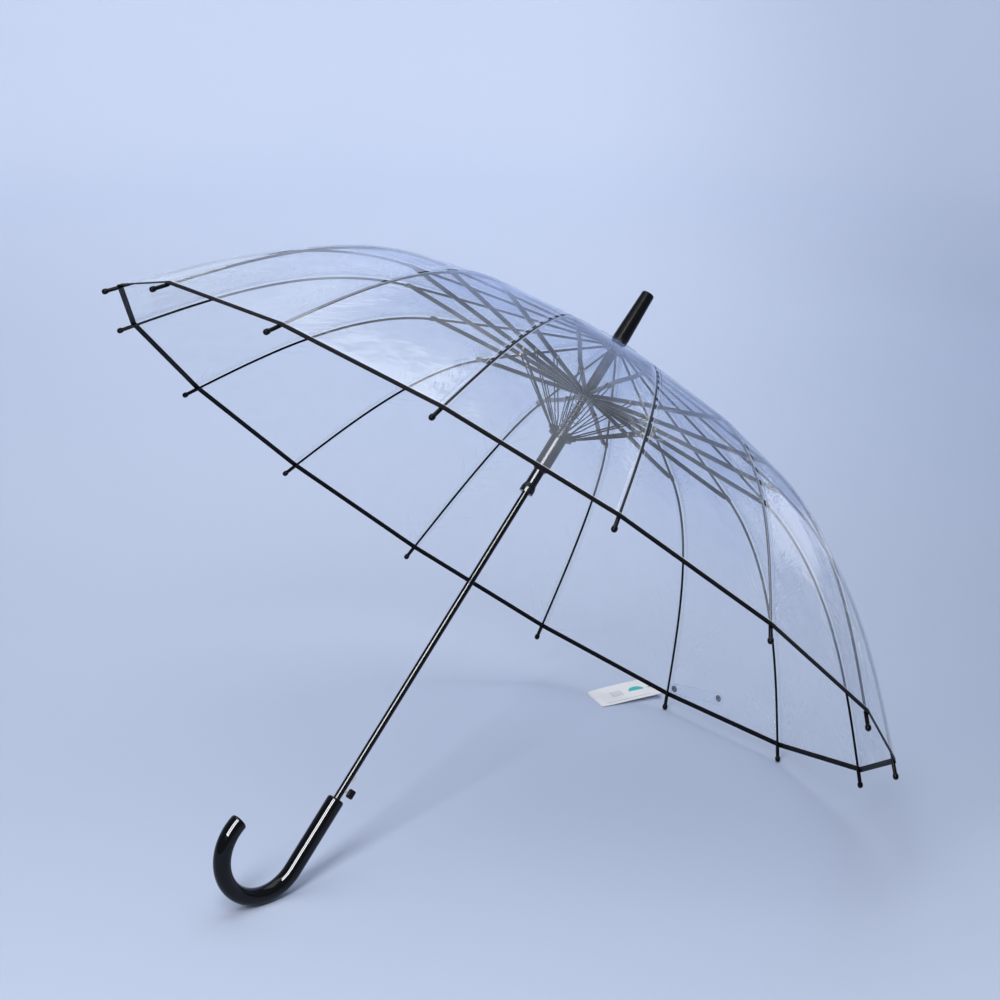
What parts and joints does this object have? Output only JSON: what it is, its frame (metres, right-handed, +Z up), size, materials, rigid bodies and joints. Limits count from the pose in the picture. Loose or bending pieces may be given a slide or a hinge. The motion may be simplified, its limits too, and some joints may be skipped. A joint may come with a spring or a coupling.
{
  "type": "clear dome stick umbrella",
  "caption": "See-through dome stick umbrella with a hook handle, spring-opened frame, black ribs and ribbon hem, lying open on its side.",
  "frame": {"origin": "bottom centre of the bounding box, on the floor that the open umbrella lies on", "axes": "+Z up from the floor, +Y across the canopy's longest width, +X level from the hook towards the ferrule"},
  "size_m": [0.7944, 1.0106, 0.6967],
  "materials": {
    "shaft_black": "glossy black baked paint",
    "handle_black": "mirror-glossy black moulded plastic",
    "button_black": "glossy black plastic",
    "crown_black": "satin black plastic",
    "ferrule_black": "semi-gloss black moulded plastic",
    "hub_black": "satin black plastic",
    "spring_steel": "bright spring wire",
    "clear_film": "clear soft film with a faint blue haze",
    "hem_ribbon": "black woven ribbon",
    "strap_clear": "clear soft film strap",
    "rib_black": "black coated rod with glossy black caps",
    "linkage_black": "black painted pressed steel and wire",
    "tag_card": "coated white card"
  },
  "bodies": {
    "frame": {"shaft": "shaft_black", "handle": "handle_black", "crown": "crown_black", "ferrule": "ferrule_black", "canopy": "clear_film", "hem": "hem_ribbon", "closing_strap": "strap_clear"},
    "runner": {"runner": "hub_black"},
    "upper_hub": {"upper_hub": "hub_black", "spring": "spring_steel"},
    "button": {"release_button": "button_black"},
    "tag": {"hang_tag": "tag_card"},
    "rib_01": {"rib_01": "rib_black"},
    "stretcher_01": {"stretcher_01": "linkage_black"},
    "strut_01": {"strut_01": "linkage_black"},
    "rib_02": {"rib_02": "rib_black"},
    "stretcher_02": {"stretcher_02": "linkage_black"},
    "strut_02": {"strut_02": "linkage_black"},
    "rib_03": {"rib_03": "rib_black"},
    "stretcher_03": {"stretcher_03": "linkage_black"},
    "strut_03": {"strut_03": "linkage_black"},
    "rib_04": {"rib_04": "rib_black"},
    "stretcher_04": {"stretcher_04": "linkage_black"},
    "strut_04": {"strut_04": "linkage_black"},
    "rib_05": {"rib_05": "rib_black"},
    "stretcher_05": {"stretcher_05": "linkage_black"},
    "strut_05": {"strut_05": "linkage_black"},
    "rib_06": {"rib_06": "rib_black"},
    "stretcher_06": {"stretcher_06": "linkage_black"},
    "strut_06": {"strut_06": "linkage_black"},
    "rib_07": {"rib_07": "rib_black"},
    "stretcher_07": {"stretcher_07": "linkage_black"},
    "strut_07": {"strut_07": "linkage_black"},
    "rib_08": {"rib_08": "rib_black"},
    "stretcher_08": {"stretcher_08": "linkage_black"},
    "strut_08": {"strut_08": "linkage_black"},
    "rib_09": {"rib_09": "rib_black"},
    "stretcher_09": {"stretcher_09": "linkage_black"},
    "strut_09": {"strut_09": "linkage_black"},
    "rib_10": {"rib_10": "rib_black"},
    "stretcher_10": {"stretcher_10": "linkage_black"},
    "strut_10": {"strut_10": "linkage_black"},
    "rib_11": {"rib_11": "rib_black"},
    "stretcher_11": {"stretcher_11": "linkage_black"},
    "strut_11": {"strut_11": "linkage_black"},
    "rib_12": {"rib_12": "rib_black"},
    "stretcher_12": {"stretcher_12": "linkage_black"},
    "strut_12": {"strut_12": "linkage_black"},
    "rib_13": {"rib_13": "rib_black"},
    "stretcher_13": {"stretcher_13": "linkage_black"},
    "strut_13": {"strut_13": "linkage_black"},
    "rib_14": {"rib_14": "rib_black"},
    "stretcher_14": {"stretcher_14": "linkage_black"},
    "strut_14": {"strut_14": "linkage_black"},
    "rib_15": {"rib_15": "rib_black"},
    "stretcher_15": {"stretcher_15": "linkage_black"},
    "strut_15": {"strut_15": "linkage_black"},
    "rib_16": {"rib_16": "rib_black"},
    "stretcher_16": {"stretcher_16": "linkage_black"},
    "strut_16": {"strut_16": "linkage_black"}
  },
  "joints": [
    {"name": "runner_slide", "type": "slide", "parent": "frame", "child": "runner", "axis": [-0.67, 0, -0.7424], "range_m": [0, 0.35443], "stiffness_N_per_m": 30, "springref_m": -0.5},
    {"name": "upper_hub_slide", "type": "slide", "parent": "frame", "child": "upper_hub", "axis": [-0.67, 0, -0.7424], "range_m": [0, 0.38947], "deforming": ["spring"]},
    {"name": "button_press", "type": "slide", "parent": "frame", "child": "button", "axis": [-0.525, 0.7071, 0.4737], "range_m": [0, 0.002], "stiffness_N_per_m": 200, "springref_m": -0.004},
    {"name": "tag_swing", "type": "hinge", "parent": "frame", "child": "tag", "pos_m": [0.37654, 0.13048, 0.00571], "axis": [0.2974, 0.9548, 0], "range_deg": [0, 12]},
    {"name": "rib_01_hinge", "type": "hinge", "parent": "frame", "child": "rib_01", "pos_m": [0.17463, 0.00244, 0.52947], "axis": [-0.1448, 0.9808, 0.1307], "range_deg": [0, 61.32]},
    {"name": "stretcher_01_hinge", "type": "hinge", "parent": "upper_hub", "child": "stretcher_01", "pos_m": [0.13069, 0.00224, 0.48225], "axis": [0.1448, -0.9808, -0.1307], "range_deg": [0, 71.07]},
    {"name": "strut_01_hinge", "type": "hinge", "parent": "stretcher_01", "child": "strut_01", "pos_m": [0.18985, 0.01744, 0.43374], "axis": [-0.1448, 0.9808, 0.1307], "range_deg": [0, 30.98]},
    {"name": "rib_02_hinge", "type": "hinge", "parent": "frame", "child": "rib_02", "pos_m": [0.17325, 0.00694, 0.53072], "axis": [-0.4125, 0.8315, 0.3722], "range_deg": [0, 61.32]},
    {"name": "stretcher_02_hinge", "type": "hinge", "parent": "upper_hub", "child": "stretcher_02", "pos_m": [0.12942, 0.00639, 0.4834], "axis": [0.4125, -0.8315, -0.3722], "range_deg": [0, 71.07]},
    {"name": "strut_02_hinge", "type": "hinge", "parent": "stretcher_02", "child": "strut_02", "pos_m": [0.17994, 0.04968, 0.44268], "axis": [-0.4125, 0.8315, 0.3722], "range_deg": [0, 30.98]},
    {"name": "rib_03_hinge", "type": "hinge", "parent": "frame", "child": "rib_03", "pos_m": [0.17069, 0.01039, 0.53304], "axis": [-0.6173, 0.5556, 0.5571], "range_deg": [0, 61.32]},
    {"name": "stretcher_03_hinge", "type": "hinge", "parent": "upper_hub", "child": "stretcher_03", "pos_m": [0.12706, 0.00956, 0.48552], "axis": [0.6173, -0.5556, -0.5571], "range_deg": [0, 71.07]},
    {"name": "strut_03_hinge", "type": "hinge", "parent": "stretcher_03", "child": "strut_03", "pos_m": [0.16163, 0.07435, 0.45921], "axis": [-0.6173, 0.5556, 0.5571], "range_deg": [0, 30.98]},
    {"name": "rib_04_hinge", "type": "hinge", "parent": "frame", "child": "rib_04", "pos_m": [0.16734, 0.01226, 0.53605], "axis": [-0.7281, 0.1951, 0.6571], "range_deg": [0, 61.32]},
    {"name": "stretcher_04_hinge", "type": "hinge", "parent": "upper_hub", "child": "stretcher_04", "pos_m": [0.12398, 0.01128, 0.4883], "axis": [0.7281, -0.1951, -0.6571], "range_deg": [0, 71.07]},
    {"name": "strut_04_hinge", "type": "hinge", "parent": "stretcher_04", "child": "strut_04", "pos_m": [0.1377, 0.0877, 0.48081], "axis": [-0.7281, 0.1951, 0.6571], "range_deg": [0, 30.98]},
    {"name": "rib_05_hinge", "type": "hinge", "parent": "frame", "child": "rib_05", "pos_m": [0.16372, 0.01226, 0.53932], "axis": [-0.7281, -0.1951, 0.6571], "range_deg": [0, 61.32]},
    {"name": "stretcher_05_hinge", "type": "hinge", "parent": "upper_hub", "child": "stretcher_05", "pos_m": [0.12065, 0.01128, 0.49131], "axis": [0.7281, 0.1951, -0.6571], "range_deg": [0, 71.07]},
    {"name": "strut_05_hinge", "type": "hinge", "parent": "stretcher_05", "child": "strut_05", "pos_m": [0.1118, 0.0877, 0.50418], "axis": [-0.7281, -0.1951, 0.6571], "range_deg": [0, 30.98]},
    {"name": "rib_06_hinge", "type": "hinge", "parent": "frame", "child": "rib_06", "pos_m": [0.16038, 0.01039, 0.54234], "axis": [-0.6173, -0.5556, 0.5571], "range_deg": [0, 61.32]},
    {"name": "stretcher_06_hinge", "type": "hinge", "parent": "upper_hub", "child": "stretcher_06", "pos_m": [0.11758, 0.00956, 0.49408], "axis": [0.6173, 0.5556, -0.5571], "range_deg": [0, 71.07]},
    {"name": "strut_06_hinge", "type": "hinge", "parent": "stretcher_06", "child": "strut_06", "pos_m": [0.08787, 0.07435, 0.52578], "axis": [-0.6173, -0.5556, 0.5571], "range_deg": [0, 30.98]},
    {"name": "rib_07_hinge", "type": "hinge", "parent": "frame", "child": "rib_07", "pos_m": [0.15782, 0.00694, 0.54465], "axis": [-0.4125, -0.8315, 0.3722], "range_deg": [0, 61.32]},
    {"name": "stretcher_07_hinge", "type": "hinge", "parent": "upper_hub", "child": "stretcher_07", "pos_m": [0.11522, 0.00639, 0.49621], "axis": [0.4125, 0.8315, -0.3722], "range_deg": [0, 71.07]},
    {"name": "strut_07_hinge", "type": "hinge", "parent": "stretcher_07", "child": "strut_07", "pos_m": [0.06955, 0.04968, 0.5423], "axis": [-0.4125, -0.8315, 0.3722], "range_deg": [0, 30.98]},
    {"name": "rib_08_hinge", "type": "hinge", "parent": "frame", "child": "rib_08", "pos_m": [0.15643, 0.00244, 0.5459], "axis": [-0.1448, -0.9808, 0.1307], "range_deg": [0, 61.32]},
    {"name": "stretcher_08_hinge", "type": "hinge", "parent": "upper_hub", "child": "stretcher_08", "pos_m": [0.11395, 0.00224, 0.49736], "axis": [0.1448, 0.9808, -0.1307], "range_deg": [0, 71.07]},
    {"name": "strut_08_hinge", "type": "hinge", "parent": "stretcher_08", "child": "strut_08", "pos_m": [0.05964, 0.01744, 0.55125], "axis": [-0.1448, -0.9808, 0.1307], "range_deg": [0, 30.98]},
    {"name": "rib_09_hinge", "type": "hinge", "parent": "frame", "child": "rib_09", "pos_m": [0.15643, -0.00244, 0.5459], "axis": [0.1448, -0.9808, -0.1307], "range_deg": [0, 61.32]},
    {"name": "stretcher_09_hinge", "type": "hinge", "parent": "upper_hub", "child": "stretcher_09", "pos_m": [0.11395, -0.00224, 0.49736], "axis": [-0.1448, 0.9808, 0.1307], "range_deg": [0, 71.07]},
    {"name": "strut_09_hinge", "type": "hinge", "parent": "stretcher_09", "child": "strut_09", "pos_m": [0.05964, -0.01744, 0.55125], "axis": [0.1448, -0.9808, -0.1307], "range_deg": [0, 30.98]},
    {"name": "rib_10_hinge", "type": "hinge", "parent": "frame", "child": "rib_10", "pos_m": [0.15782, -0.00694, 0.54465], "axis": [0.4125, -0.8315, -0.3722], "range_deg": [0, 61.32]},
    {"name": "stretcher_10_hinge", "type": "hinge", "parent": "upper_hub", "child": "stretcher_10", "pos_m": [0.11522, -0.00639, 0.49621], "axis": [-0.4125, 0.8315, 0.3722], "range_deg": [0, 71.07]},
    {"name": "strut_10_hinge", "type": "hinge", "parent": "stretcher_10", "child": "strut_10", "pos_m": [0.06955, -0.04968, 0.5423], "axis": [0.4125, -0.8315, -0.3722], "range_deg": [0, 30.98]},
    {"name": "rib_11_hinge", "type": "hinge", "parent": "frame", "child": "rib_11", "pos_m": [0.16038, -0.01039, 0.54234], "axis": [0.6173, -0.5556, -0.5571], "range_deg": [0, 61.32]},
    {"name": "stretcher_11_hinge", "type": "hinge", "parent": "upper_hub", "child": "stretcher_11", "pos_m": [0.11758, -0.00956, 0.49408], "axis": [-0.6173, 0.5556, 0.5571], "range_deg": [0, 71.07]},
    {"name": "strut_11_hinge", "type": "hinge", "parent": "stretcher_11", "child": "strut_11", "pos_m": [0.08787, -0.07435, 0.52578], "axis": [0.6173, -0.5556, -0.5571], "range_deg": [0, 30.98]},
    {"name": "rib_12_hinge", "type": "hinge", "parent": "frame", "child": "rib_12", "pos_m": [0.16372, -0.01226, 0.53932], "axis": [0.7281, -0.1951, -0.6571], "range_deg": [0, 61.32]},
    {"name": "stretcher_12_hinge", "type": "hinge", "parent": "upper_hub", "child": "stretcher_12", "pos_m": [0.12065, -0.01128, 0.49131], "axis": [-0.7281, 0.1951, 0.6571], "range_deg": [0, 71.07]},
    {"name": "strut_12_hinge", "type": "hinge", "parent": "stretcher_12", "child": "strut_12", "pos_m": [0.1118, -0.0877, 0.50418], "axis": [0.7281, -0.1951, -0.6571], "range_deg": [0, 30.98]},
    {"name": "rib_13_hinge", "type": "hinge", "parent": "frame", "child": "rib_13", "pos_m": [0.16734, -0.01226, 0.53605], "axis": [0.7281, 0.1951, -0.6571], "range_deg": [0, 61.32]},
    {"name": "stretcher_13_hinge", "type": "hinge", "parent": "upper_hub", "child": "stretcher_13", "pos_m": [0.12398, -0.01128, 0.4883], "axis": [-0.7281, -0.1951, 0.6571], "range_deg": [0, 71.07]},
    {"name": "strut_13_hinge", "type": "hinge", "parent": "stretcher_13", "child": "strut_13", "pos_m": [0.1377, -0.0877, 0.48081], "axis": [0.7281, 0.1951, -0.6571], "range_deg": [0, 30.98]},
    {"name": "rib_14_hinge", "type": "hinge", "parent": "frame", "child": "rib_14", "pos_m": [0.17069, -0.01039, 0.53304], "axis": [0.6173, 0.5556, -0.5571], "range_deg": [0, 61.32]},
    {"name": "stretcher_14_hinge", "type": "hinge", "parent": "upper_hub", "child": "stretcher_14", "pos_m": [0.12706, -0.00956, 0.48552], "axis": [-0.6173, -0.5556, 0.5571], "range_deg": [0, 71.07]},
    {"name": "strut_14_hinge", "type": "hinge", "parent": "stretcher_14", "child": "strut_14", "pos_m": [0.16163, -0.07435, 0.45921], "axis": [0.6173, 0.5556, -0.5571], "range_deg": [0, 30.98]},
    {"name": "rib_15_hinge", "type": "hinge", "parent": "frame", "child": "rib_15", "pos_m": [0.17325, -0.00694, 0.53072], "axis": [0.4125, 0.8315, -0.3722], "range_deg": [0, 61.32]},
    {"name": "stretcher_15_hinge", "type": "hinge", "parent": "upper_hub", "child": "stretcher_15", "pos_m": [0.12942, -0.00639, 0.4834], "axis": [-0.4125, -0.8315, 0.3722], "range_deg": [0, 71.07]},
    {"name": "strut_15_hinge", "type": "hinge", "parent": "stretcher_15", "child": "strut_15", "pos_m": [0.17994, -0.04968, 0.44268], "axis": [0.4125, 0.8315, -0.3722], "range_deg": [0, 30.98]},
    {"name": "rib_16_hinge", "type": "hinge", "parent": "frame", "child": "rib_16", "pos_m": [0.17463, -0.00244, 0.52947], "axis": [0.1448, 0.9808, -0.1307], "range_deg": [0, 61.32]},
    {"name": "stretcher_16_hinge", "type": "hinge", "parent": "upper_hub", "child": "stretcher_16", "pos_m": [0.13069, -0.00224, 0.48225], "axis": [-0.1448, -0.9808, 0.1307], "range_deg": [0, 71.07]},
    {"name": "strut_16_hinge", "type": "hinge", "parent": "stretcher_16", "child": "strut_16", "pos_m": [0.18985, -0.01744, 0.43374], "axis": [0.1448, 0.9808, -0.1307], "range_deg": [0, 30.98]}
  ],
  "couplings": [
    {"joint": "upper_hub_slide", "follows": "runner_slide", "ratio": 1.0983},
    {"joint": "rib_01_hinge", "follows": "runner_slide", "rad_per_m": 3.0179},
    {"joint": "stretcher_01_hinge", "follows": "runner_slide", "rad_per_m": 3.4978},
    {"joint": "strut_01_hinge", "follows": "runner_slide", "rad_per_m": 1.525},
    {"joint": "rib_02_hinge", "follows": "runner_slide", "rad_per_m": 3.0179},
    {"joint": "stretcher_02_hinge", "follows": "runner_slide", "rad_per_m": 3.4978},
    {"joint": "strut_02_hinge", "follows": "runner_slide", "rad_per_m": 1.525},
    {"joint": "rib_03_hinge", "follows": "runner_slide", "rad_per_m": 3.0179},
    {"joint": "stretcher_03_hinge", "follows": "runner_slide", "rad_per_m": 3.4978},
    {"joint": "strut_03_hinge", "follows": "runner_slide", "rad_per_m": 1.525},
    {"joint": "rib_04_hinge", "follows": "runner_slide", "rad_per_m": 3.0179},
    {"joint": "stretcher_04_hinge", "follows": "runner_slide", "rad_per_m": 3.4978},
    {"joint": "strut_04_hinge", "follows": "runner_slide", "rad_per_m": 1.525},
    {"joint": "rib_05_hinge", "follows": "runner_slide", "rad_per_m": 3.0179},
    {"joint": "stretcher_05_hinge", "follows": "runner_slide", "rad_per_m": 3.4978},
    {"joint": "strut_05_hinge", "follows": "runner_slide", "rad_per_m": 1.525},
    {"joint": "rib_06_hinge", "follows": "runner_slide", "rad_per_m": 3.0179},
    {"joint": "stretcher_06_hinge", "follows": "runner_slide", "rad_per_m": 3.4978},
    {"joint": "strut_06_hinge", "follows": "runner_slide", "rad_per_m": 1.525},
    {"joint": "rib_07_hinge", "follows": "runner_slide", "rad_per_m": 3.0179},
    {"joint": "stretcher_07_hinge", "follows": "runner_slide", "rad_per_m": 3.4978},
    {"joint": "strut_07_hinge", "follows": "runner_slide", "rad_per_m": 1.525},
    {"joint": "rib_08_hinge", "follows": "runner_slide", "rad_per_m": 3.0179},
    {"joint": "stretcher_08_hinge", "follows": "runner_slide", "rad_per_m": 3.4978},
    {"joint": "strut_08_hinge", "follows": "runner_slide", "rad_per_m": 1.525},
    {"joint": "rib_09_hinge", "follows": "runner_slide", "rad_per_m": 3.0179},
    {"joint": "stretcher_09_hinge", "follows": "runner_slide", "rad_per_m": 3.4978},
    {"joint": "strut_09_hinge", "follows": "runner_slide", "rad_per_m": 1.525},
    {"joint": "rib_10_hinge", "follows": "runner_slide", "rad_per_m": 3.0179},
    {"joint": "stretcher_10_hinge", "follows": "runner_slide", "rad_per_m": 3.4978},
    {"joint": "strut_10_hinge", "follows": "runner_slide", "rad_per_m": 1.525},
    {"joint": "rib_11_hinge", "follows": "runner_slide", "rad_per_m": 3.0179},
    {"joint": "stretcher_11_hinge", "follows": "runner_slide", "rad_per_m": 3.4978},
    {"joint": "strut_11_hinge", "follows": "runner_slide", "rad_per_m": 1.525},
    {"joint": "rib_12_hinge", "follows": "runner_slide", "rad_per_m": 3.0179},
    {"joint": "stretcher_12_hinge", "follows": "runner_slide", "rad_per_m": 3.4978},
    {"joint": "strut_12_hinge", "follows": "runner_slide", "rad_per_m": 1.525},
    {"joint": "rib_13_hinge", "follows": "runner_slide", "rad_per_m": 3.0179},
    {"joint": "stretcher_13_hinge", "follows": "runner_slide", "rad_per_m": 3.4978},
    {"joint": "strut_13_hinge", "follows": "runner_slide", "rad_per_m": 1.525},
    {"joint": "rib_14_hinge", "follows": "runner_slide", "rad_per_m": 3.0179},
    {"joint": "stretcher_14_hinge", "follows": "runner_slide", "rad_per_m": 3.4978},
    {"joint": "strut_14_hinge", "follows": "runner_slide", "rad_per_m": 1.525},
    {"joint": "rib_15_hinge", "follows": "runner_slide", "rad_per_m": 3.0179},
    {"joint": "stretcher_15_hinge", "follows": "runner_slide", "rad_per_m": 3.4978},
    {"joint": "strut_15_hinge", "follows": "runner_slide", "rad_per_m": 1.525},
    {"joint": "rib_16_hinge", "follows": "runner_slide", "rad_per_m": 3.0179},
    {"joint": "stretcher_16_hinge", "follows": "runner_slide", "rad_per_m": 3.4978},
    {"joint": "strut_16_hinge", "follows": "runner_slide", "rad_per_m": 1.525}
  ]
}
